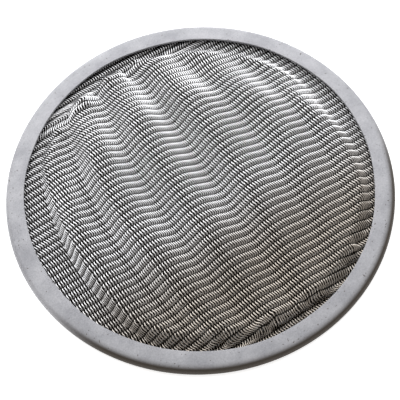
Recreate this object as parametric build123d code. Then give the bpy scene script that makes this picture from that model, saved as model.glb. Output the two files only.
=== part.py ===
"""Round tank strainer: a corrugated Dutch-weave wire cloth held in a folded sheet-steel rim.

The origin is the middle of the rim's underside, with Z up. The thick warp wires run along X,
the thin weft wires along Y, and the rolled waves have their crests along Y.
"""

from build123d import *

import os
from math import atan2, cos, degrees, hypot, pi, radians, sin, sqrt, tan

# Folded rim
RIM_OUTER_R = 50.0
RIM_WIDTH = 5.1
SHEET = 0.7
HEEL_R = 1.1
FLANGE_RISE = 0.55
BEND_STEPS = 3

# Plain Dutch weave, with a row of weft knuckles over each warp
WARP_WIRE = 0.56
WEFT_WIRE = 0.335
WARP_PITCH = 2.0
WEFT_RISE = (WARP_WIRE + WEFT_WIRE) / 2
CLOTH_T = WARP_WIRE + 2 * WEFT_WIRE

# Seat of the cloth's pressed edge inside the rim
CLAMP_GAP = 0.05
EDGE_GAP = 0.9

# Waves rolled into the cloth, as (place across the waves, rise above the flat border)
CRESTS = ((-33.8, 5.6), (-20.1, 6.8), (-5.5, 6.4), (10.6, 6.5), (25.4, 5.5), (36.3, 5.3))
VALLEYS = ((-27.9, 3.1), (-12.5, 3.0), (3.3, 2.2), (19.1, 3.6), (32.0, 3.4))
STEEP_FLANK = (-26.2, -21.2)
RISE_POWER = 0.85
FALL_POWER = 1.2
MEAN_RISE = 4.7

# The waves are drawn together at their ends, lie slightly aslant, fade at the near end and
# swell at the far one
BARREL = 0.34
SLANT = 0.034
NEAR_FADE = 0.4
FADE_SLOPE = 0.006
NEAR_FADE_RUN = (3.0, -36.0)
FAR_SWELL = 0.35
FAR_SWELL_RUN = (12.0, 32.0)

# The dome that the waves stand on, which starts inside the rim and falls towards both of its ends
DOME_SIDE_MARGIN = 4.9
DOME_END_MARGIN = 2.9
FAR_FALL = 0.6
FAR_RUN = (21.0, 2.0)
NEAR_FALL = 0.42
NEAR_RUN = (31.0, 5.0)

# Walls where the cloth is crushed down to its flat border, as margins of (foot, top) inside the rim
LEFT_WALL = (7.3, 9.7)
RIGHT_WALL = (3.0, 7.4)
FAR_WALL = (2.3, 5.5)
NEAR_WALL = (0.9, 4.4)
END_BLEND = 20.0
BORDER = 0.5

# Facets of the formed cloth
FLANK_BREAKS = (0, 0.23, 0.77)
WALL_STEPS = 3
CLOSE = 0.5
LOWER_STEP = 4.0
LOWER_END_STEP = 1.25
LOWER_END = 16.4
BALL_RINGS = (0.45, 0.8, 0.97)

cloth_half = CLOTH_T / 2
cloth_low = SHEET
cloth_mid = cloth_low + cloth_half
cloth_high = cloth_low + CLOTH_T
shoulder_h = cloth_high + CLAMP_GAP + SHEET
shoulder_r = shoulder_h - HEEL_R
bore_r = RIM_OUTER_R - RIM_WIDTH
cloth_r = RIM_OUTER_R - SHEET - EDGE_GAP
formed_r = bore_r - BORDER


def bend(centre, radius, start, end):
    """Points round one bend of the rim's section, as (radius from the axis, height)."""
    turns = [radians(start + (end - start) * step / BEND_STEPS) for step in range(BEND_STEPS + 1)]
    return [(centre[0] + radius * cos(turn), centre[1] + radius * sin(turn)) for turn in turns]


def rim_skin(depth):
    """One side of the folded sheet, a given depth inside the metal, from lip to lip."""
    shoulder = (RIM_OUTER_R - shoulder_r, HEEL_R)
    heel = (RIM_OUTER_R - HEEL_R, HEEL_R)
    tilt = atan2(FLANGE_RISE, shoulder[0] - bore_r)
    upper = bend(shoulder, shoulder_r - depth, 90 - degrees(tilt), 0)
    lower = bend(heel, HEEL_R - depth, 0, -90)[1:]
    lip = (bore_r, upper[0][1] + (upper[0][0] - bore_r) * tan(tilt))
    return [lip, *upper, *lower, (bore_r, depth)]


def make_rim():
    """One strip of sheet rolled into a ring and folded over the cloth's edge."""
    outline = Polyline(*rim_skin(0), *rim_skin(SHEET)[::-1], close=True)
    return revolve(Plane.XZ * make_face(outline), Axis.Z)


def ramp(value, foot, top):
    """Smooth step from 0 at the foot to 1 at the top."""
    part = min(max((value - foot) / (top - foot), 0), 1)
    return part * part * (3 - 2 * part)


def wave(across):
    """Rise of the waves above the border, before their ends are crushed."""
    turns = sorted(CRESTS + VALLEYS)
    if across <= turns[0][0]:
        return turns[0][1]
    for (start, low), (end, high) in zip(turns, turns[1:]):
        if across < end:
            if start < STEEP_FLANK[0] < end:
                start, end = STEEP_FLANK
            part = min(max((across - start) / (end - start), 0), 1)
            power = RISE_POWER if high > low else FALL_POWER
            return low + (high - low) * sin(pi / 2 * part**power) ** 2
    return turns[-1][1]


def bow(y):
    """How much the waves are drawn together at a place along them."""
    return 1 - BARREL * min((y / bore_r) ** 2, 1)


def middle(x, y):
    """Height of the cloth's middle surface."""
    across = (x - SLANT * y) / bow(y)
    fade = (NEAR_FADE + FADE_SLOPE * x) * ramp(y, *NEAR_FADE_RUN)
    swell = 1 - fade + FAR_SWELL * ramp(y, *FAR_SWELL_RUN)
    rise = MEAN_RISE + (wave(across) - MEAN_RISE) * swell
    edge = (bore_r - DOME_END_MARGIN) * sqrt(max(1 - (x / (bore_r - DOME_SIDE_MARGIN)) ** 2, 0))
    rise *= 1 - FAR_FALL * ramp(edge - y, *FAR_RUN)
    rise *= 1 - NEAR_FALL * ramp(edge + y, *NEAR_RUN)
    ends = ramp(hypot(x, y), end_wall(y, 0), end_wall(y, 1))
    left = ramp(bore_r + across, *LEFT_WALL)
    right = ramp(bore_r - across, *RIGHT_WALL)
    return cloth_mid + rise * ends * left * right


def end_wall(y, part):
    """Radius of the end wall at a part of its way from foot to top."""
    near = NEAR_WALL[0] + (NEAR_WALL[1] - NEAR_WALL[0]) * part
    far = FAR_WALL[0] + (FAR_WALL[1] - FAR_WALL[0]) * part
    return bore_r - near - (far - near) * ramp(y, -END_BLEND, END_BLEND)


def ball():
    """Top half of a ball as thick as the cloth, as (x, y, height) points."""
    points = [(0, 0, cloth_half)]
    for part in BALL_RINGS:
        for turn in range(8):
            reach = cloth_half * part
            points.append((reach * cos(pi / 4 * turn), reach * sin(pi / 4 * turn),
                           cloth_half * sqrt(1 - part**2)))
    return points


ball_points = ball()


def skin(x, y, side):
    """Height of the cloth's upper or lower skin, half its thickness off the middle surface."""
    return side * max(side * middle(x + dx, y + dy) + up for dx, dy, up in ball_points)


def wave_lines():
    """Lines along the waves, at their turns, on their flanks and in the side walls."""
    turns = [place for place, _ in sorted(CRESTS + VALLEYS)]
    lines = [start + (end - start) * part for start, end in zip(turns, turns[1:]) for part in FLANK_BREAKS]
    lines.append(turns[-1])
    for side, (foot, top) in ((-1, LEFT_WALL), (1, RIGHT_WALL)):
        lines += [side * (bore_r - foot - (top - foot) * step / WALL_STEPS) for step in range(WALL_STEPS)]
    return lines


def row_places(y):
    """Places along X of one row's points, ending on the round edge of the formed area."""
    half = sqrt(formed_r**2 - y * y)
    fixed = [-half, half]
    if abs(y) > END_BLEND:
        for step in range(1, WALL_STEPS + 1):
            room = end_wall(y, step / WALL_STEPS) ** 2 - y * y
            if room > CLOSE**2:
                fixed += [-sqrt(room), sqrt(room)]
    lines = [line * bow(y) + SLANT * y for line in wave_lines()]
    free = [x for x in lines if abs(x) < half and all(abs(x - place) > CLOSE for place in fixed)]
    return sorted(fixed + free)


def upper_rows():
    """Rows of the upper skin as (place along Y, groove): a ridge on each warp, a groove between."""
    step = WARP_PITCH / 2
    count = int(formed_r / step)
    return [(number * step, WEFT_RISE if number % 2 else 0) for number in range(-count, count + 1)]


def lower_rows():
    """Rows of the lower skin, which has no grooves, closer together near its ends."""
    count = int((formed_r - LOWER_END) / LOWER_STEP)
    middle_run = count * LOWER_STEP
    end_count = int((formed_r - middle_run) / LOWER_END_STEP)
    places = [number * LOWER_STEP for number in range(-count, count + 1)]
    ends = [middle_run + (number + 1) * LOWER_END_STEP for number in range(end_count)]
    return [(y, 0) for y in [-end for end in ends[::-1]] + places + ends]


def strip(near, far):
    """Triangles between two rows of points, each in order along X."""
    triangles = []
    first = 0
    second = 0
    while first < len(near) - 1 or second < len(far) - 1:
        near_left = first < len(near) - 1
        far_left = second < len(far) - 1
        if near_left and far_left:
            near_left = near[first][0] + near[first + 1][0] < far[second][0] + far[second + 1][0]
        if near_left:
            triangles.append((near[first], near[first + 1], far[second]))
            first += 1
        else:
            triangles.append((near[first], far[second + 1], far[second]))
            second += 1
    return triangles


def formed_skin(side, rows):
    """Triangles of one side of the formed area, and the closed outline that they end on."""
    flat = cloth_mid + side * cloth_half
    lines = []
    for y, groove in rows:
        places = row_places(y)
        inner = [(x, y, skin(x, y, side) - side * groove) for x in places[1:-1]]
        lines.append([(places[0], y, flat), *inner, (places[-1], y, flat)])
    for end in (0, -1):
        lines[end] = [(x, y, flat) for x, y, _ in lines[end]]
    triangles = [corners for near, far in zip(lines, lines[1:]) for corners in strip(near, far)]
    right = [line[-1] for line in lines[1:-1]]
    left = [line[0] for line in lines[-2:0:-1]]
    return triangles, [*lines[0], *right, *lines[-1][::-1], *left]


def border(side, outline):
    """Flat face of the pressed border, from the formed area to the cloth's edge."""
    level = Plane((0, 0, cloth_mid + side * cloth_half))
    edge = Wire(level * Edge.make_circle(cloth_r))
    return Face(edge, [Wire.make_polygon(outline, close=True)])


def make_cloth():
    """The wire cloth: rolled waves, their crushed ends and the flat pressed edge."""
    edge = Plane((0, 0, cloth_low)) * Edge.make_circle(cloth_r)
    faces = [Face.extrude(edge, (0, 0, CLOTH_T))]
    for side, rows in ((1, upper_rows()), (-1, lower_rows())):
        triangles, outline = formed_skin(side, rows)
        faces += [Face(Wire.make_polygon(corners, close=True)) for corners in triangles]
        faces.append(border(side, outline))
    return Solid(Shell(faces))


def main():
    """Write each piece as its own solid."""
    os.makedirs("parts", exist_ok=True)
    export_step(make_rim(), "parts/rim.step")
    export_step(make_cloth(), "parts/mesh.step")


main()
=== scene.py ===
"""Looks of a round tank strainer: corrugated woven wire cloth held in a folded sheet-steel rim.

The classes of the cloth, the rim and the finishes hold sizes in millimetres, which become metres as
a mesh or a material is made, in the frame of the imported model. The rim lies on its underside at
height zero, the thick warp wires run along X and the thin weft wires along Y.
"""

import logging
from dataclasses import dataclass
from enum import Enum
from math import atan2, cos, pi, radians, sin, tan

import bpy
import numpy as np
from mathutils import Matrix, Vector


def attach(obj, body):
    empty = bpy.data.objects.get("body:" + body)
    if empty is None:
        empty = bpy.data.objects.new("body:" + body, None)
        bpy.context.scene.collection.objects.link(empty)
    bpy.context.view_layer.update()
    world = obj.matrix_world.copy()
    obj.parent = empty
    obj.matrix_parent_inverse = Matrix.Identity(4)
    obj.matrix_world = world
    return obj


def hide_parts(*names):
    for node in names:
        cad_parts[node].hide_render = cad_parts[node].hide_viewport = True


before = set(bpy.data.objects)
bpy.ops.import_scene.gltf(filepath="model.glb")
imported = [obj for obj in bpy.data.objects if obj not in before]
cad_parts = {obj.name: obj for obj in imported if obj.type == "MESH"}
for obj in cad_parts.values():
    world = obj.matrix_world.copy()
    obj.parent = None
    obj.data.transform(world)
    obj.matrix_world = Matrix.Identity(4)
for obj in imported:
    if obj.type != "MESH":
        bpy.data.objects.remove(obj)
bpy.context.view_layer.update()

log = logging.getLogger("strainer")

Socket = bpy.types.NodeSocket
Value = Socket | str | float | tuple[float, ...]
Inputs = dict[str | int, Value]
Setting = str | bpy.types.NodeTree
Run = tuple[float, float]
Colour = tuple[float, float, float]

MM = 0.001
PHOTO_SIDE = 400

# Sizes that the cloth and the rim share
WARP_WIRE = 0.52
WEFT_WIRE = 0.355
WARP_PITCH = 2.0
CLOTH_HALF = WARP_WIRE / 2 + WEFT_WIRE
SHEET = 0.7
BORE = 44.9


class Course(Enum):
    """Course of a set of wires in the cloth, as the direction in which they run."""

    WARP = (1, 0, 0)
    WEFT = (0, 1, 0)

    @property
    def across(self) -> tuple[int, int, int]:
        """Direction in which the wires of the set lie side by side."""
        return (Course.WEFT if self is Course.WARP else Course.WARP).value


# Node trees


@dataclass
class Nodes:
    """A node tree of a geometry or of a shader, with short ways to add to it."""

    tree: bpy.types.NodeTree

    def feed(self, node: bpy.types.Node, values: Inputs) -> None:
        """Set a node's inputs.

        Args:
            node: Node of this tree.
            values: Input name or number to a value, or to the output that feeds it.
        """
        for key, value in values.items():
            if isinstance(value, Socket):
                self.tree.links.new(value, node.inputs[key])
            else:
                node.inputs[key].default_value = value

    def add(self, kind: str, values: Inputs | None = None, **settings: Setting) -> bpy.types.Node:
        """Add one node.

        Args:
            kind: Blender's name of the node's type.
            values: Input name or number to a value, or to the output that feeds it.
            settings: Attributes set on the node before its inputs.

        Returns:
            The new node.
        """
        node = self.tree.nodes.new(kind)
        for name, setting in settings.items():
            setattr(node, name, setting)
        self.feed(node, values or {})
        return node

    def result(self, kind: str, values: Inputs | None = None, **settings: Setting) -> Socket:
        """Add one node, as add does, and give its first output."""
        return self.add(kind, values, **settings).outputs[0]

    def math(self, operation: str, *values: Value) -> Socket:
        """Add a calculation with numbers, given in the node's order."""
        return self.result("ShaderNodeMath", dict(enumerate(values)), operation=operation)

    def vector(self, operation: str, *values: Value, output: str = "Vector") -> Socket:
        """Add a calculation with vectors, given in the node's order."""
        return self.add("ShaderNodeVectorMath", dict(enumerate(values)), operation=operation).outputs[output]

    def scale(self, vector: Socket, factor: Value) -> Socket:
        """Add a vector's product with a number."""
        return self.result("ShaderNodeVectorMath", {0: vector, "Scale": factor}, operation="SCALE")

    def position(self) -> Socket:
        """Add the place of each point of a geometry."""
        return self.result("GeometryNodeInputPosition")

    def ramp(self, value: Socket, run: Run, ends: Run = (0.0, 1.0), smooth: bool = False) -> Socket:
        """Add a ramp that stays level before and after its run.

        Args:
            value: Number that the ramp follows.
            run: Values at which the ramp starts and ends.
            ends: Results before and after the run.
            smooth: Whether the ramp eases in and out.

        Returns:
            The ramp's result.
        """
        names = ("Value", "From Min", "From Max", "To Min", "To Max")
        style = "SMOOTHSTEP" if smooth else "LINEAR"
        return self.result("ShaderNodeMapRange", dict(zip(names, (value, *run, *ends))),
                           interpolation_type=style)

    def blend(self, share: Socket, first: Colour | Socket, second: Colour | Socket) -> Socket:
        """Add a mix of two colours.

        Args:
            share: How much of the second colour shows.
            first: Colour, or the output that gives it.
            second: Colour, or the output that gives it.

        Returns:
            The mixed colour.
        """
        first, second = (side if isinstance(side, Socket) else (*side, 1) for side in (first, second))
        return self.add("ShaderNodeMix", {0: share, 6: first, 7: second}, data_type="RGBA").outputs[2]


# Shape of the formed cloth


@dataclass
class WavedForm:
    """Middle surface of the cloth, from its pressed border to the rolled waves."""

    border: float = SHEET + CLOTH_HALF
    reach: float = 54.0
    step: float = 0.4
    fine_step: float = 0.1
    slope_step: float = 0.05

    # Waves, as (place across them, rise above the border)
    crests: tuple[tuple[float, float], ...] = (
        (-33.8, 5.6), (-20.1, 6.8), (-5.5, 6.4), (10.6, 6.5), (25.4, 5.5), (36.3, 5.3))
    valleys: tuple[tuple[float, float], ...] = (
        (-27.9, 3.1), (-12.5, 3.0), (3.3, 2.2), (19.1, 3.6), (32.0, 3.4))
    steep_flank: Run = (-26.2, -21.2)
    rise_power: float = 0.85
    fall_power: float = 1.2
    mean_rise: float = 4.7

    # The waves are drawn together at their ends, lie slightly aslant, fade at the near end and
    # swell at the far one
    barrel: float = 0.34
    slant: float = 0.034
    near_fade: float = 0.4
    fade_slope: float = 0.006
    near_fade_run: Run = (3.0, -36.0)
    far_swell: float = 0.35
    far_swell_run: Run = (12.0, 32.0)

    # The dome that the waves stand on, which falls towards both of its ends
    dome_half_width: float = 40.0
    dome_half_length: float = 42.0
    far_fall: float = 0.6
    far_fall_run: Run = (21.0, 2.0)
    near_fall: float = 0.42
    near_fall_run: Run = (31.0, 5.0)

    # Walls where the cloth is crushed down to its border, as places of (foot, top)
    left_wall: Run = (-37.6, -35.2)
    right_wall: Run = (41.9, 37.5)
    far_wall: Run = (42.6, 39.4)
    near_wall: Run = (44.0, 40.5)
    end_blend: float = 20.0

    # Creases, as (x, y, rise), with their sizes as (width, length)
    far_creases: tuple[tuple[float, float, float], ...] = (
        (5.6, 42.0, 0.9), (1.6, 39.2, -1.4), (-4.0, 41.0, 0.9), (-8.3, 38.6, -1.2), (-12.6, 38.0, 1.0),
        (-17.8, 36.2, -1.1), (-22.8, 34.2, 0.9))
    near_creases: tuple[tuple[float, float, float], ...] = (
        (-20.0, -38.1, 0.9), (-18.3, -39.0, -1.0), (-16.8, -40.0, 0.8), (-8.7, -41.3, 0.9),
        (-6.5, -41.4, -1.0), (-4.4, -41.7, 0.8), (1.8, -42.0, 0.9), (4.4, -41.4, -1.0), (8.4, -41.8, 0.8),
        (22.3, -36.8, 0.9), (24.2, -35.0, -0.9))
    far_crease_size: Run = (1.3, 2.3)
    near_crease_size: Run = (0.95, 1.8)
    crease_fade: Run = (BORE - 0.6, BORE - 2.4)

    @staticmethod
    def ramp(value: np.ndarray, foot: np.ndarray | float, top: np.ndarray | float) -> np.ndarray:
        """Smooth step from 0 at the foot to 1 at the top."""
        part = np.clip((value - foot) / (top - foot), 0, 1)
        return part * part * (3 - 2 * part)

    def wave(self, across: np.ndarray) -> np.ndarray:
        """Find the waves' height above the border, before they are crushed.

        Args:
            across: Places across the straightened waves.

        Returns:
            A height for each place.
        """
        turns = sorted(self.crests + self.valleys)
        result = np.where(across < turns[0][0], turns[0][1], turns[-1][1])
        for (start, low), (end, high) in zip(turns, turns[1:]):
            inside = (across >= start) & (across < end)
            if start < self.steep_flank[0] < end:
                start, end = self.steep_flank
            part = np.clip((across[inside] - start) / (end - start), 0, 1)
            power = self.rise_power if high > low else self.fall_power
            result[inside] = low + (high - low) * np.sin(pi / 2 * part**power) ** 2
        return result

    def creased(self, x: np.ndarray, y: np.ndarray) -> np.ndarray:
        """Find the small ridges and hollows, running outwards, where the waves' ends are crushed.

        Args:
            x: Places along the warps.
            y: Places along the wefts, of the same shape.

        Returns:
            Heights to add to the waves.
        """
        total = np.zeros_like(x)
        for creases, (width, length) in ((self.far_creases, self.far_crease_size),
                                         (self.near_creases, self.near_crease_size)):
            for place_x, place_y, rise in creases:
                turn = atan2(place_y, place_x)
                outward = (x - place_x) * cos(turn) + (y - place_y) * sin(turn)
                aside = (y - place_y) * cos(turn) - (x - place_x) * sin(turn)
                total += rise * np.exp(-(outward / length) ** 2 - (aside / width) ** 2)
        return total * self.ramp(np.hypot(x, y), *self.crease_fade)

    def height(self, x: np.ndarray, y: np.ndarray) -> np.ndarray:
        """Find the height of the cloth's middle surface.

        Args:
            x: Places along the warps.
            y: Places along the wefts, of the same shape.

        Returns:
            Heights above the rim's underside.
        """
        bow = 1 - self.barrel * np.clip((y / BORE) ** 2, 0, 1)
        across = (x - self.slant * y) / bow
        fade = (self.near_fade + self.fade_slope * x) * self.ramp(y, *self.near_fade_run)
        swell = 1 - fade + self.far_swell * self.ramp(y, *self.far_swell_run)
        rise = self.mean_rise + (self.wave(across) - self.mean_rise) * swell
        edge = self.dome_half_length * np.sqrt(np.maximum(1 - (x / self.dome_half_width) ** 2, 0))
        rise *= 1 - self.far_fall * self.ramp(edge - y, *self.far_fall_run)
        rise *= 1 - self.near_fall * self.ramp(edge + y, *self.near_fall_run)
        farness = self.ramp(y, -self.end_blend, self.end_blend)
        foot, top = (near + (far - near) * farness for near, far in zip(self.near_wall, self.far_wall))
        ends = self.ramp(np.hypot(x, y), foot, top)
        sides = self.ramp(across, *self.left_wall) * self.ramp(across, *self.right_wall)
        return self.border + np.maximum(rise * ends * sides + self.creased(x, y), 0)

    def flat_to_plan(self) -> tuple[np.ndarray, np.ndarray]:
        """Find where the flat cloth comes to lie in plan, with the warps as long as they were.

        Returns:
            X and Y of a square grid of points, one row for each place along the wefts.
        """
        flat = np.arange(-self.reach, self.reach + self.step / 2, self.step)
        fine = np.arange(-self.reach, self.reach + self.fine_step / 2, self.fine_step)
        plan_x = np.empty((len(flat), len(flat)))
        for row, y in enumerate(flat):
            heights = self.height(fine, np.full_like(fine, y))
            runs = np.hypot(np.diff(fine), np.diff(heights))
            along = np.concatenate([[0], np.cumsum(runs)])
            along -= np.interp(0, fine, along)
            plan_x[row] = np.interp(flat, along, fine)
        return plan_x, np.repeat(flat[:, None], len(flat), axis=1)

    def normals(self, x: np.ndarray, y: np.ndarray) -> np.ndarray:
        """Find the directions square to the surface.

        Args:
            x: Places along the warps.
            y: Places along the wefts, of the same shape.

        Returns:
            A direction of length 1 for each place.
        """
        small = self.slope_step
        slope_x = (self.height(x + small, y) - self.height(x - small, y)) / (2 * small)
        slope_y = (self.height(x, y + small) - self.height(x, y - small)) / (2 * small)
        square = np.stack([-slope_x, -slope_y, np.ones_like(x)], axis=-1)
        return square / np.linalg.norm(square, axis=-1, keepdims=True)

    def build(self) -> bpy.types.Mesh:
        """Make the surface that the wires are laid over.

        Returns:
            The mesh, whose UV map is the flat cloth and which stores its own normals.
        """
        x, y = self.flat_to_plan()
        rows = len(x)
        corner = (np.arange(rows - 1)[:, None] * rows + np.arange(rows - 1)[None, :]).ravel()
        quads = np.stack([corner, corner + 1, corner + rows + 1, corner + rows], axis=1)
        points = np.stack([x, y, self.height(x, y)], axis=-1).reshape(-1, 3) * MM
        mesh = bpy.data.meshes.new("waved_form")
        mesh.from_pydata(points.tolist(), [], quads.tolist())
        flat = np.arange(rows) / (rows - 1)
        flat_points = np.stack(np.meshgrid(flat, flat), axis=-1).reshape(-1, 2)
        layer = mesh.uv_layers.new(name="flat")
        layer.data.foreach_set("uv", flat_points[quads.ravel()].astype(np.float32).ravel())
        stored = mesh.attributes.new("form_normal", "FLOAT_VECTOR", "POINT")
        stored.data.foreach_set("vector", self.normals(x, y).astype(np.float32).ravel())
        return mesh


# The wires


class WeaveNodes(Nodes):
    """Geometry nodes that lay a set of straight wires over the form, weave them and make them round."""

    counts = ("Wires", "Points", "Sides", "Parity")
    directions = ("Across", "Along")
    sizes = ("First", "Pitch", "Radius", "Crimp", "Fullness", "Crossing", "Lean", "Crown", "Reach",
             "Sheet", "Cloth Radius")

    def __init__(self) -> None:
        """Start the tree with its named inputs and its output."""
        super().__init__(bpy.data.node_groups.new("lay_wires", "GeometryNodeTree"))
        face = self.tree.interface
        face.new_socket("Form", in_out="INPUT", socket_type="NodeSocketGeometry")
        for names, kind in ((self.counts, "NodeSocketInt"), (self.directions, "NodeSocketVector"),
                            (self.sizes, "NodeSocketFloat"), (("Finish",), "NodeSocketMaterial")):
            for name in names:
                face.new_socket(name, in_out="INPUT", socket_type=kind)
        face.new_socket("Wires Made", in_out="OUTPUT", socket_type="NodeSocketGeometry")
        self.given = self.tree.nodes.new("NodeGroupInput").outputs

    def stored(self, name: str) -> Socket:
        """Add the reading of a stored vector."""
        return self.result("GeometryNodeInputNamedAttribute", {"Name": name}, data_type="FLOAT_VECTOR")

    def store(self, geometry: Socket, name: str, value: Socket, kind: str = "FLOAT_VECTOR") -> Socket:
        """Add the storing of a value at each point.

        Args:
            geometry: Curves or mesh that the value is for.
            name: Name to store it under.
            value: What to store.
            kind: Blender's name of the value's type.

        Returns:
            The geometry with its value.
        """
        values = {"Geometry": geometry, "Name": name, "Value": value}
        return self.result("GeometryNodeStoreNamedAttribute", values, data_type=kind, domain="POINT")

    def straight(self) -> Socket:
        """Lay the wires out flat, side by side, each divided into even steps.

        Returns:
            The wires' middle lines.
        """
        given = self.given
        starts = self.result("GeometryNodeMeshLine", {
            "Count": given["Wires"],
            "Start Location": self.scale(given["Across"], given["First"]),
            "Offset": self.scale(given["Across"], given["Pitch"]),
        })
        end = self.scale(given["Along"], given["Reach"])
        run = self.result("GeometryNodeCurvePrimitiveLine", {"Start": self.scale(end, -1.0), "End": end})
        divided = self.result("GeometryNodeResampleCurve", {"Curve": run, "Count": given["Points"]})
        placed = self.result("GeometryNodeInstanceOnPoints", {"Points": starts, "Instance": divided})
        return self.result("GeometryNodeRealizeInstances", {"Geometry": placed})

    def woven(self) -> tuple[Socket, Socket]:
        """Find how each point of a flat wire moves as it passes over and under the other set.

        Returns:
            Its lift off the form, and its flat place with its lean between crossings.
        """
        given = self.given
        flat = self.position()
        place = self.vector("DOT_PRODUCT", flat, given["Along"], output="Value")
        turn = self.math("DIVIDE", place, given["Crossing"])
        swing = self.math("COSINE", self.math("MULTIPLY", self.math("ADD", turn, given["Parity"]), pi))
        flattening = self.math("MULTIPLY", given["Fullness"], self.math("MULTIPLY", swing, swing))
        fullness = self.math("SUBTRACT", self.math("ADD", 1.0, given["Fullness"]), flattening)
        lift = self.math("MULTIPLY", given["Crimp"], self.math("MULTIPLY", swing, fullness))
        sideways = self.math("SINE", self.math("MULTIPLY", turn, -2 * pi))
        lean = self.math("MULTIPLY", given["Lean"], sideways)
        return lift, self.vector("ADD", flat, self.scale(given["Across"], lean))

    def on_form(self, flat: Socket) -> tuple[Socket, Socket]:
        """Find where a place of the flat cloth lies on the form.

        Args:
            flat: Place of the flat cloth.

        Returns:
            The point of the form's surface and the direction square to it.
        """
        share = self.scale(flat, self.math("DIVIDE", 1.0, self.given["Sheet"]))
        values = {
            "Mesh": self.given["Form"],
            "UV Map": self.stored("flat"),
            "Sample UV": self.vector("ADD", share, (0.5, 0.5, 0.0)),
        }
        point, square = (
            self.result("GeometryNodeSampleUVSurface", values | {"Value": value}, data_type="FLOAT_VECTOR")
            for value in (self.position(), self.stored("form_normal")))
        return point, square

    def tubes(self, lines: Socket) -> Socket:
        """Cut the wires off at the edge of the cloth and give them their thickness.

        Args:
            lines: Middle lines of the woven wires.

        Returns:
            Closed tubes.
        """
        given = self.given
        plan = self.vector("MULTIPLY", self.position(), (1.0, 1.0, 0.0))
        radius = self.vector("LENGTH", plan, output="Value")
        outside = self.math("GREATER_THAN", radius, given["Cloth Radius"])
        trimmed = self.result("GeometryNodeDeleteGeometry", {"Geometry": lines, "Selection": outside},
                              domain="POINT")
        upright = self.result("GeometryNodeSetCurveNormal", {"Curve": trimmed}, mode="Z_UP")
        section = self.result("GeometryNodeCurvePrimitiveCircle",
                              {"Resolution": given["Sides"], "Radius": given["Radius"]})
        return self.result("GeometryNodeCurveToMesh",
                           {"Curve": upright, "Profile Curve": section, "Fill Caps": True})

    def marked(self, tubes: Socket) -> Socket:
        """Store how far each point stands off the form, which sets how much painted shade its finish gets.

        Args:
            tubes: Wires that still know their place on the form.

        Returns:
            The wires, with their exposure: 0 at the form and 1 at the height called their crown.
        """
        offset = self.vector("SUBTRACT", self.position(), self.stored("form_point"))
        standing = self.vector("DOT_PRODUCT", offset, self.stored("form_up"), output="Value")
        exposure = self.math("DIVIDE", self.math("ABSOLUTE", standing), self.given["Crown"])
        marked = self.store(tubes, "exposure", exposure, "FLOAT")
        for name in ("form_point", "form_up"):
            marked = self.result("GeometryNodeRemoveAttribute", {"Geometry": marked, "Name": name})
        return marked

    def build(self) -> bpy.types.NodeTree:
        """Join the steps from flat wires to the finished piece.

        Returns:
            The node tree.
        """
        lift, flat = self.woven()
        point, square = self.on_form(flat)
        lines = self.store(self.straight(), "form_point", point)
        lines = self.store(lines, "form_up", square)
        lifted = self.vector("ADD", point, self.scale(square, lift))
        placed = self.result("GeometryNodeSetPosition", {"Geometry": lines, "Position": lifted})
        smooth = self.result("GeometryNodeSetShadeSmooth", {"Geometry": self.marked(self.tubes(placed))})
        whole = self.result("GeometryNodeRealizeInstances", {"Geometry": smooth})
        dressed = self.result("GeometryNodeSetMaterial",
                              {"Geometry": whole, "Material": self.given["Finish"]})
        self.add("NodeGroupOutput", {0: dressed})
        return self.tree


@dataclass
class WireSet:
    """One set of wires in the cloth, which becomes one piece."""

    name: str
    course: Course
    diameter: float
    pitch: float
    count: int
    first: float
    crown: float
    steps: int
    crimp: float = 0.0
    lean: float = 0.0
    parity: int = 0


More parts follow.
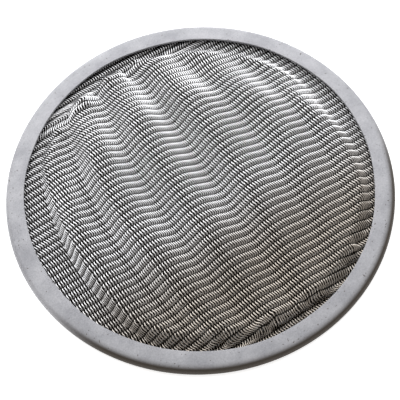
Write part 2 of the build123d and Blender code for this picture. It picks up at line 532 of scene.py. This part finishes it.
@dataclass
class WireCloth:
    """The woven cloth: thick warps, and thin wefts side by side that pass over and under them."""

    form: WavedForm
    trim_radius: float = 46.8
    weft_pitch: float = WEFT_WIRE
    weft_pieces: int = 4
    weft_lean: float = 0.13
    crimp_fullness: float = 0.23
    # Warps count as fully out of the weave only higher up, so they take more painted shade where they show
    # between the wefts.
    warp_crown: float = 1.6
    warp_steps: int = 3
    weft_steps: int = 6
    tube_sides: int = 6

    def spread(self, pitch: float) -> tuple[int, float]:
        """Find how many wires at a pitch cover the form, and the place of the first of them."""
        count = 2 * int(self.form.reach / pitch) - 1
        return count, -(count - 1) / 2 * pitch

    def sets(self) -> list[WireSet]:
        """Share the wires out among the pieces.

        Returns:
            One set of warps, and the wefts dealt out in turn.
        """
        count, first = self.spread(WARP_PITCH)
        sets = [WireSet("warp_wires", Course.WARP, WARP_WIRE, WARP_PITCH, count, first,
                        crown=self.warp_crown * CLOTH_HALF, steps=self.warp_steps)]
        pitch = self.weft_pieces * self.weft_pitch
        count, first = self.spread(pitch)
        for number in range(self.weft_pieces):
            sets.append(WireSet(f"weft_wires_{number + 1}", Course.WEFT, WEFT_WIRE, pitch, count,
                                first + number * self.weft_pitch, crown=CLOTH_HALF, steps=self.weft_steps,
                                crimp=(WARP_WIRE + WEFT_WIRE) / 2, lean=self.weft_lean, parity=number % 2))
        return sets

    def inputs(self, wires: WireSet) -> dict[str, int | float | tuple[int, int, int]]:
        """Work out the inputs of the weave nodes, with sizes in metres.

        Args:
            wires: Sizes of the set.

        Returns:
            Input name to its value.
        """
        step = WARP_PITCH / wires.steps
        half_points = int(self.form.reach / step) - 1
        sizes = {
            "First": wires.first,
            "Pitch": wires.pitch,
            "Radius": wires.diameter / 2,
            "Crimp": wires.crimp,
            "Crossing": WARP_PITCH,
            "Lean": wires.lean,
            "Crown": wires.crown,
            "Reach": half_points * step,
            "Sheet": 2 * self.form.reach,
            "Cloth Radius": self.trim_radius,
        }
        return {name: size * MM for name, size in sizes.items()} | {
            "Wires": wires.count,
            "Points": 2 * half_points + 1,
            "Sides": self.tube_sides,
            "Parity": wires.parity,
            "Across": wires.course.across,
            "Along": wires.course.value,
            "Fullness": self.crimp_fullness,
        }

    def lay(self, wires: WireSet, tree: bpy.types.NodeTree, form: bpy.types.Mesh,
            finish: bpy.types.Material) -> bpy.types.Object:
        """Weave one set of wires over the form and keep it as a plain mesh.

        Args:
            wires: Sizes of the set.
            tree: Weave nodes.
            form: Middle surface of the cloth.
            finish: Material of the wires.

        Returns:
            The piece, linked to the scene.
        """
        carrier = bpy.data.objects.new("carrier", form)
        bpy.context.collection.objects.link(carrier)
        modifier = carrier.modifiers.new("weave", "NODES")
        modifier.node_group = tree
        values = self.inputs(wires) | {"Finish": finish}
        for item in tree.interface.items_tree:
            if item.in_out == "INPUT" and item.name in values:
                modifier[item.identifier] = values[item.name]
        carrier.update_tag()
        bpy.context.view_layer.update()
        evaluated = carrier.evaluated_get(bpy.context.evaluated_depsgraph_get())
        mesh = bpy.data.meshes.new_from_object(evaluated)
        mesh.name = wires.name
        piece = bpy.data.objects.new(wires.name, mesh)
        bpy.context.collection.objects.link(piece)
        carrier.modifiers.clear()
        bpy.data.objects.remove(carrier)
        return piece

    def build(self, finish: bpy.types.Material) -> list[bpy.types.Object]:
        """Make every set of wires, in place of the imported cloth.

        Args:
            finish: Material of the wires.

        Returns:
            The pieces.
        """
        tree = WeaveNodes().build()
        form = self.form.build()
        pieces = [self.lay(wires, tree, form, finish) for wires in self.sets()]
        for piece in pieces:
            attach(piece, "root")
            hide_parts("mesh")
        bpy.data.meshes.remove(form)
        return pieces


# The folded rim


@dataclass
class FoldedRim:
    """Sheet-steel ring folded over the cloth's edge."""

    outer_radius: float = 50.0
    heel: float = 1.1
    clamp_gap: float = 0.05
    flange_rise: float = 0.55
    bend_steps: int = 12
    segments: int = 320
    lip_round: float = 0.16
    lip_steps: int = 3

    # Wander of the upper lip, with its waves as (number round the rim, shift, share)
    lip_wander: float = 0.12
    wander_reach: float = 47.5
    wander_base: float = 1.4
    wander_waves: tuple[tuple[int, float, float], ...] = ((3, 0.7, 1.0), (7, 2.1, 0.6), (13, 0.0, 0.4))

    def skin(self, depth: float) -> list[tuple[float, float]]:
        """Trace one side of the sheet, from its upper lip to its lower one.

        Args:
            depth: Depth of the line inside the metal.

        Returns:
            Points as (radius, height).
        """
        shoulder = 2 * SHEET + 2 * CLOTH_HALF + self.clamp_gap - self.heel
        centre = self.outer_radius - shoulder
        tilt = atan2(self.flange_rise, centre - BORE)
        points = []
        for step in range(self.bend_steps + 1):
            turn = (pi / 2 - tilt) * (1 - step / self.bend_steps)
            reach = shoulder - depth
            points.append((centre + reach * cos(turn), self.heel + reach * sin(turn)))
        for step in range(1, self.bend_steps + 1):
            turn = -pi / 2 * step / self.bend_steps
            reach = self.heel - depth
            points.append((self.outer_radius - self.heel + reach * cos(turn),
                           self.heel + reach * sin(turn)))
        lip = (BORE, points[0][1] + (points[0][0] - BORE) * tan(tilt))
        return [lip, *points, (BORE, depth)]

    def outline(self) -> list[tuple[float, float]]:
        """Trace the closed section of the folded sheet, with rounded lips.

        Returns:
            Points as (radius, height).
        """
        loop = self.skin(0) + self.skin(SHEET)[::-1]
        rounded = []
        for number, point in enumerate(loop):
            if point[0] != BORE:
                rounded.append(point)
                continue
            here = Vector(point)
            into = here + (Vector(loop[number - 1]) - here).normalized() * self.lip_round
            out = here + (Vector(loop[(number + 1) % len(loop)]) - here).normalized() * self.lip_round
            for step in range(self.lip_steps + 1):
                part = step / self.lip_steps
                mix = into * (1 - part) ** 2 + here * 2 * part * (1 - part) + out * part**2
                rounded.append(tuple(mix))
        return rounded

    def points(self) -> np.ndarray:
        """Turn the section about the axis, with a slight wander of the upper lip.

        Returns:
            One section of (x, y, z) points for each segment of the ring.
        """
        radii, heights = np.array(self.outline()).T
        turns = np.arange(self.segments) * 2 * pi / self.segments
        wander = sum(share * np.sin(waves * turns + shift) for waves, shift, share in self.wander_waves)
        nearness = np.clip((self.wander_reach - radii) / (self.wander_reach - BORE), 0, 1)
        nearness *= heights > self.wander_base
        wandered = radii + self.lip_wander * wander[:, None] * nearness
        return np.stack([wandered * np.cos(turns)[:, None], wandered * np.sin(turns)[:, None],
                         np.broadcast_to(heights, wandered.shape)], axis=-1)

    def build(self, finish: bpy.types.Material) -> bpy.types.Object:
        """Make the rim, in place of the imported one.

        Args:
            finish: Material of the sheet steel.

        Returns:
            The piece.
        """
        points = self.points()
        rows = points.shape[1]
        here = np.arange(self.segments)[:, None] * rows + np.arange(rows)
        ahead = np.roll(here, -1, axis=0)
        quads = np.stack([here, np.roll(here, -1, axis=1), np.roll(ahead, -1, axis=1), ahead], axis=-1)
        mesh = bpy.data.meshes.new("folded_rim")
        mesh.from_pydata((points.reshape(-1, 3) * MM).tolist(), [], quads.reshape(-1, 4).tolist())
        mesh.shade_smooth()
        mesh.materials.append(finish)
        piece = bpy.data.objects.new("folded_rim", mesh)
        bpy.context.collection.objects.link(piece)
        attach(piece, "root")
        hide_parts("rim")
        return piece


# Finishes


def mottle_group() -> bpy.types.NodeTree:
    """Build the shader group that both steels share: soft blotches over a fine grain.

    Returns:
        The group, with sizes as pattern scales per metre.
    """
    nodes = Nodes(bpy.data.node_groups.new("steel_mottle", "ShaderNodeTree"))
    face = nodes.tree.interface
    for name in ("Blotch Scale", "Grain Scale", "Grain Share"):
        face.new_socket(name, in_out="INPUT", socket_type="NodeSocketFloat")
    face.new_socket("Mottle", in_out="OUTPUT", socket_type="NodeSocketFloat")
    given = nodes.add("NodeGroupInput").outputs
    place = nodes.add("ShaderNodeTexCoord").outputs["Object"]
    blotch = nodes.result("ShaderNodeTexNoise",
                          {"Vector": place, "Scale": given["Blotch Scale"], "Detail": 3.0})
    grain = nodes.result("ShaderNodeTexNoise",
                         {"Vector": place, "Scale": given["Grain Scale"], "Detail": 2.0})
    mixed = nodes.result("ShaderNodeMix", {0: given["Grain Share"], 2: blotch, 3: grain})
    nodes.add("NodeGroupOutput", {0: mixed})
    return nodes.tree


@dataclass(frozen=True)
class SteelMottle:
    """How one steel uses the shared mottle group, with scales per metre."""

    blotch_scale: float
    grain_scale: float
    grain_share: float

    def add(self, nodes: Nodes, group: bpy.types.NodeTree) -> Socket:
        """Place the group in a material.

        Args:
            nodes: The material's nodes.
            group: The mottle group.

        Returns:
            The mottle, about 0.5 in the mean.
        """
        values = {"Blotch Scale": self.blotch_scale, "Grain Scale": self.grain_scale,
                  "Grain Share": self.grain_share}
        return nodes.result("ShaderNodeGroup", values, node_tree=group)


def new_material(name: str) -> tuple[bpy.types.Material, Nodes, bpy.types.Node]:
    """Start a material.

    Args:
        name: Name of the finish.

    Returns:
        The material, its nodes and its shader.
    """
    material = bpy.data.materials.new(name)
    material.use_nodes = True
    return material, Nodes(material.node_tree), material.node_tree.nodes["Principled BSDF"]


@dataclass(frozen=True)
class WireFinish:
    """Drawn steel wire, bright on its crowns, with painted shade deep in the weave and painted shade that
    darkens and browns the near end.
    """

    name: str
    mottle: SteelMottle = SteelMottle(90.0, 1800.0, 0.5)
    bright: Colour = (0.86, 0.862, 0.88)
    # Painted shade: the cloth turns darker and browner towards its near end, on the camera side.
    painted_near_shade: Colour = (0.6, 0.548, 0.49)
    painted_near_shade_run: Run = (-4.0, -31.0)
    # Painted shade: points deep in the weave, below their crown, fade to this near black.
    painted_deep_shade: Colour = (0.022, 0.019, 0.015)
    exposure_run: Run = (0.33, 0.5)
    mottle_base: float = 0.62
    mottle_depth: float = 0.7
    roughness: float = 0.36
    dull_roughness: float = 0.6

    def material(self, group: bpy.types.NodeTree) -> bpy.types.Material:
        """Build the finish.

        Args:
            group: Shader group of blotches and grain.

        Returns:
            The material.
        """
        material, nodes, shader = new_material(self.name)
        # Painted shade: the deeper a point lies in the weave, the nearer its colour comes to black.
        exposure = nodes.add("ShaderNodeAttribute", attribute_name="exposure").outputs["Fac"]
        shown = nodes.ramp(exposure, self.exposure_run)
        speckle = nodes.math("MULTIPLY", self.mottle_depth, self.mottle.add(nodes, group))
        brightness = nodes.math("MULTIPLY", shown, nodes.math("ADD", self.mottle_base, speckle))
        # Painted shade: darker and browner towards the near end of the cloth.
        place = nodes.add("ShaderNodeTexCoord").outputs["Object"]
        along = nodes.add("ShaderNodeSeparateXYZ", {"Vector": place}).outputs["Y"]
        nearness = nodes.ramp(along, (self.painted_near_shade_run[0] * MM, self.painted_near_shade_run[1] * MM), smooth=True)
        crown = nodes.blend(nearness, self.bright, self.painted_near_shade)
        nodes.feed(shader, {
            "Base Color": nodes.blend(brightness, self.painted_deep_shade, crown),
            "Roughness": nodes.ramp(brightness, (0.0, 1.0), (self.dull_roughness, self.roughness)),
            "Metallic": 1.0,
        })
        return material


@dataclass(frozen=True)
class SheetFinish:
    """Satin sheet steel with blotches, fine grain, a few pits and painted shade that darkens and browns the
    near outer wall.
    """

    name: str
    mottle: SteelMottle = SteelMottle(200.0, 2500.0, 0.4)
    face: Colour = (0.315, 0.318, 0.345)
    pale: Colour = (0.49, 0.492, 0.52)
    blotch_run: Run = (0.34, 0.66)
    pit: Colour = (0.17, 0.16, 0.16)
    pit_scale: float = 2000.0
    pit_run: Run = (0.77, 0.82)
    # Painted shade: the outer wall below the shoulder, on the near side, turns this dark brown.
    wall: Colour = (0.055, 0.044, 0.034)
    wall_height_run: Run = (3.22, 2.3)
    wall_radius_run: Run = (47.9, 49.3)
    wall_near_run: Run = (-4.0, -26.0)
    roughness: Run = (0.5, 0.72)
    metallic: float = 0.25
    bump_strength: float = 0.25
    bump_height: float = 0.05

    def painted_wall_shade_mask(self, nodes: Nodes, place: Socket) -> Socket:
        """Find where painted shade darkens the outer wall: below the shoulder, on the near side.

        Args:
            nodes: The material's nodes.
            place: Object coordinates.

        Returns:
            The mask, from 0 to 1.
        """
        split = nodes.add("ShaderNodeSeparateXYZ", {"Vector": place}).outputs
        radius = nodes.vector("LENGTH", nodes.vector("MULTIPLY", place, (1.0, 1.0, 0.0)), output="Value")
        height_run, radius_run, near_run = (
            (start * MM, end * MM)
            for start, end in (self.wall_height_run, self.wall_radius_run, self.wall_near_run))
        low = nodes.ramp(split["Z"], height_run, smooth=True)
        outer = nodes.ramp(radius, radius_run)
        near = nodes.ramp(split["Y"], near_run, smooth=True)
        return nodes.math("MULTIPLY", nodes.math("MULTIPLY", low, outer), near)

    def material(self, group: bpy.types.NodeTree) -> bpy.types.Material:
        """Build the finish.

        Args:
            group: Shader group of blotches and grain.

        Returns:
            The material.
        """
        material, nodes, shader = new_material(self.name)
        place = nodes.add("ShaderNodeTexCoord").outputs["Object"]
        speckle = self.mottle.add(nodes, group)
        steel = nodes.blend(nodes.ramp(speckle, self.blotch_run), self.face, self.pale)
        dots = nodes.result("ShaderNodeTexNoise", {"Vector": place, "Scale": self.pit_scale, "Detail": 0.0})
        pitted = nodes.blend(nodes.ramp(dots, self.pit_run), steel, self.pit)
        bump = nodes.result("ShaderNodeBump", {"Height": speckle, "Strength": self.bump_strength,
                                               "Distance": self.bump_height * MM})
        nodes.feed(shader, {
            # Painted shade on the near outer wall.
            "Base Color": nodes.blend(self.painted_wall_shade_mask(nodes, place), pitted, self.wall),
            "Roughness": nodes.ramp(speckle, (0.0, 1.0), self.roughness),
            "Metallic": self.metallic,
            "Normal": bump,
        })
        return material


@dataclass(frozen=True)
class FloorFinish:
    """Plain white studio floor that glows softly, with a painted shadow under the strainer where the glow
    fades out.
    """

    name: str
    colour: Colour = (0.93, 0.93, 0.93)
    roughness: float = 0.9
    glow: float = 0.75
    # Painted shadow: the glow fades to nothing under the strainer, inside these radii.
    painted_shadow_run: Run = (46.0, 49.0)

    def material(self) -> bpy.types.Material:
        """Build the finish.

        Returns:
            The material.
        """
        material, nodes, shader = new_material(self.name)
        place = nodes.add("ShaderNodeTexCoord").outputs["Object"]
        radius = nodes.vector("LENGTH", place, output="Value")
        painted_shadow_run = (self.painted_shadow_run[0] * MM, self.painted_shadow_run[1] * MM)
        nodes.feed(shader, {
            "Base Color": (*self.colour, 1),
            "Roughness": self.roughness,
            "Emission Color": (*self.colour, 1),
            "Emission Strength": nodes.ramp(radius, painted_shadow_run, (0.0, self.glow)),
        })
        return material


# The studio


def outward(azimuth: float, elevation: float) -> Vector:
    """Find the direction from the strainer to the camera or to a light.

    Args:
        azimuth: Degrees round from the front.
        elevation: Degrees above the floor.

    Returns:
        The direction, of length 1.
    """
    turn = radians(azimuth)
    rise = radians(elevation)
    return Vector((sin(turn) * cos(rise), -cos(turn) * cos(rise), sin(rise)))


@dataclass(frozen=True)
class SoftPanel:
    """Square soft light that faces the strainer, in metres, degrees and watts."""

    name: str
    azimuth: float
    elevation: float
    distance: float
    size: float
    power: float
    colour: Colour

    def build(self) -> None:
        """Hang the light in the scene."""
        data = bpy.data.lights.new(self.name, "AREA")
        data.size = self.size
        data.energy = self.power
        data.color = self.colour
        back = outward(self.azimuth, self.elevation)
        lamp = bpy.data.objects.new(self.name, data)
        bpy.context.collection.objects.link(lamp)
        turned = back.to_track_quat("Z", "Y").to_matrix().to_4x4()
        lamp.matrix_world = Matrix.Translation(back * self.distance) @ turned


@dataclass
class Studio:
    """Floor, light and the camera, placed as the photograph was taken. Metres and degrees."""

    azimuth: float = -28.3
    elevation: float = 62.385
    roll: float = -4.654
    distance: float = 0.3
    focal_px: float = 1166.2
    centre_px: tuple[float, float] = (-0.54, -12.75)
    aim_height: float = 0.0015
    sensor: float = 36.0
    clip: Run = (0.01, 20.0)
    floor_half: float = 3.0
    world_colour: Colour = (1.0, 0.97, 0.94)
    world_level: float = 0.42
    back_panel: SoftPanel = SoftPanel("back_panel", azimuth=158.0, elevation=40.0, distance=0.6, size=1.1,
                                      power=8.0, colour=(0.98, 0.99, 1.0))

    def camera(self) -> None:
        """Set the scene's camera."""
        data = bpy.data.cameras.new("camera")
        data.sensor_width = self.sensor
        data.lens = self.sensor * self.focal_px / PHOTO_SIDE
        data.shift_x = -self.centre_px[0] / PHOTO_SIDE
        data.shift_y = self.centre_px[1] / PHOTO_SIDE
        data.clip_start, data.clip_end = self.clip
        camera = bpy.data.objects.new("camera", data)
        bpy.context.collection.objects.link(camera)
        back = outward(self.azimuth, self.elevation)
        turn = radians(self.azimuth)
        right = Vector((cos(turn), sin(turn), 0))
        up = back.cross(right)
        roll = radians(self.roll)
        rolled_right = right * cos(roll) + up * sin(roll)
        rolled_up = up * cos(roll) - right * sin(roll)
        axes = Matrix((rolled_right, rolled_up, back)).transposed()
        place = Vector((0, 0, self.aim_height)) + back * self.distance
        camera.matrix_world = Matrix.Translation(place) @ axes.to_4x4()
        bpy.context.scene.camera = camera

    def floor(self, finish: bpy.types.Material) -> None:
        """Lay the floor that the strainer stands on.

        Args:
            finish: Material of the floor.
        """
        half = self.floor_half
        mesh = bpy.data.meshes.new("floor")
        mesh.from_pydata([(-half, -half, 0), (half, -half, 0), (half, half, 0), (-half, half, 0)],
                         [], [(0, 1, 2, 3)])
        mesh.materials.append(finish)
        floor = bpy.data.objects.new("floor", mesh)
        bpy.context.collection.objects.link(floor)

    def surround(self) -> None:
        """Set the even light all around, and keep the render's colours as they are."""
        world = bpy.data.worlds.new("studio")
        world.use_nodes = True
        background = world.node_tree.nodes["Background"]
        background.inputs["Color"].default_value = (*self.world_colour, 1)
        background.inputs["Strength"].default_value = self.world_level
        bpy.context.scene.world = world
        bpy.context.scene.view_settings.view_transform = "Standard"

    def build(self, floor_finish: bpy.types.Material) -> None:
        """Make the floor, the lights and the camera.

        Args:
            floor_finish: Material of the floor.
        """
        self.floor(floor_finish)
        self.surround()
        self.back_panel.build()
        self.camera()


def main() -> None:
    """Build the studio, the cloth and the rim, and report each piece."""
    logging.basicConfig(level=logging.INFO)
    mottle = mottle_group()
    Studio().build(FloorFinish("pale_floor").material())
    pieces = WireCloth(WavedForm()).build(WireFinish("woven_wire").material(mottle))
    pieces.append(FoldedRim().build(SheetFinish("satin_sheet").material(mottle)))
    for piece in pieces:
        log.info("%s: %d faces", piece.name, len(piece.data.polygons))


if __name__ == "__main__":
    main()
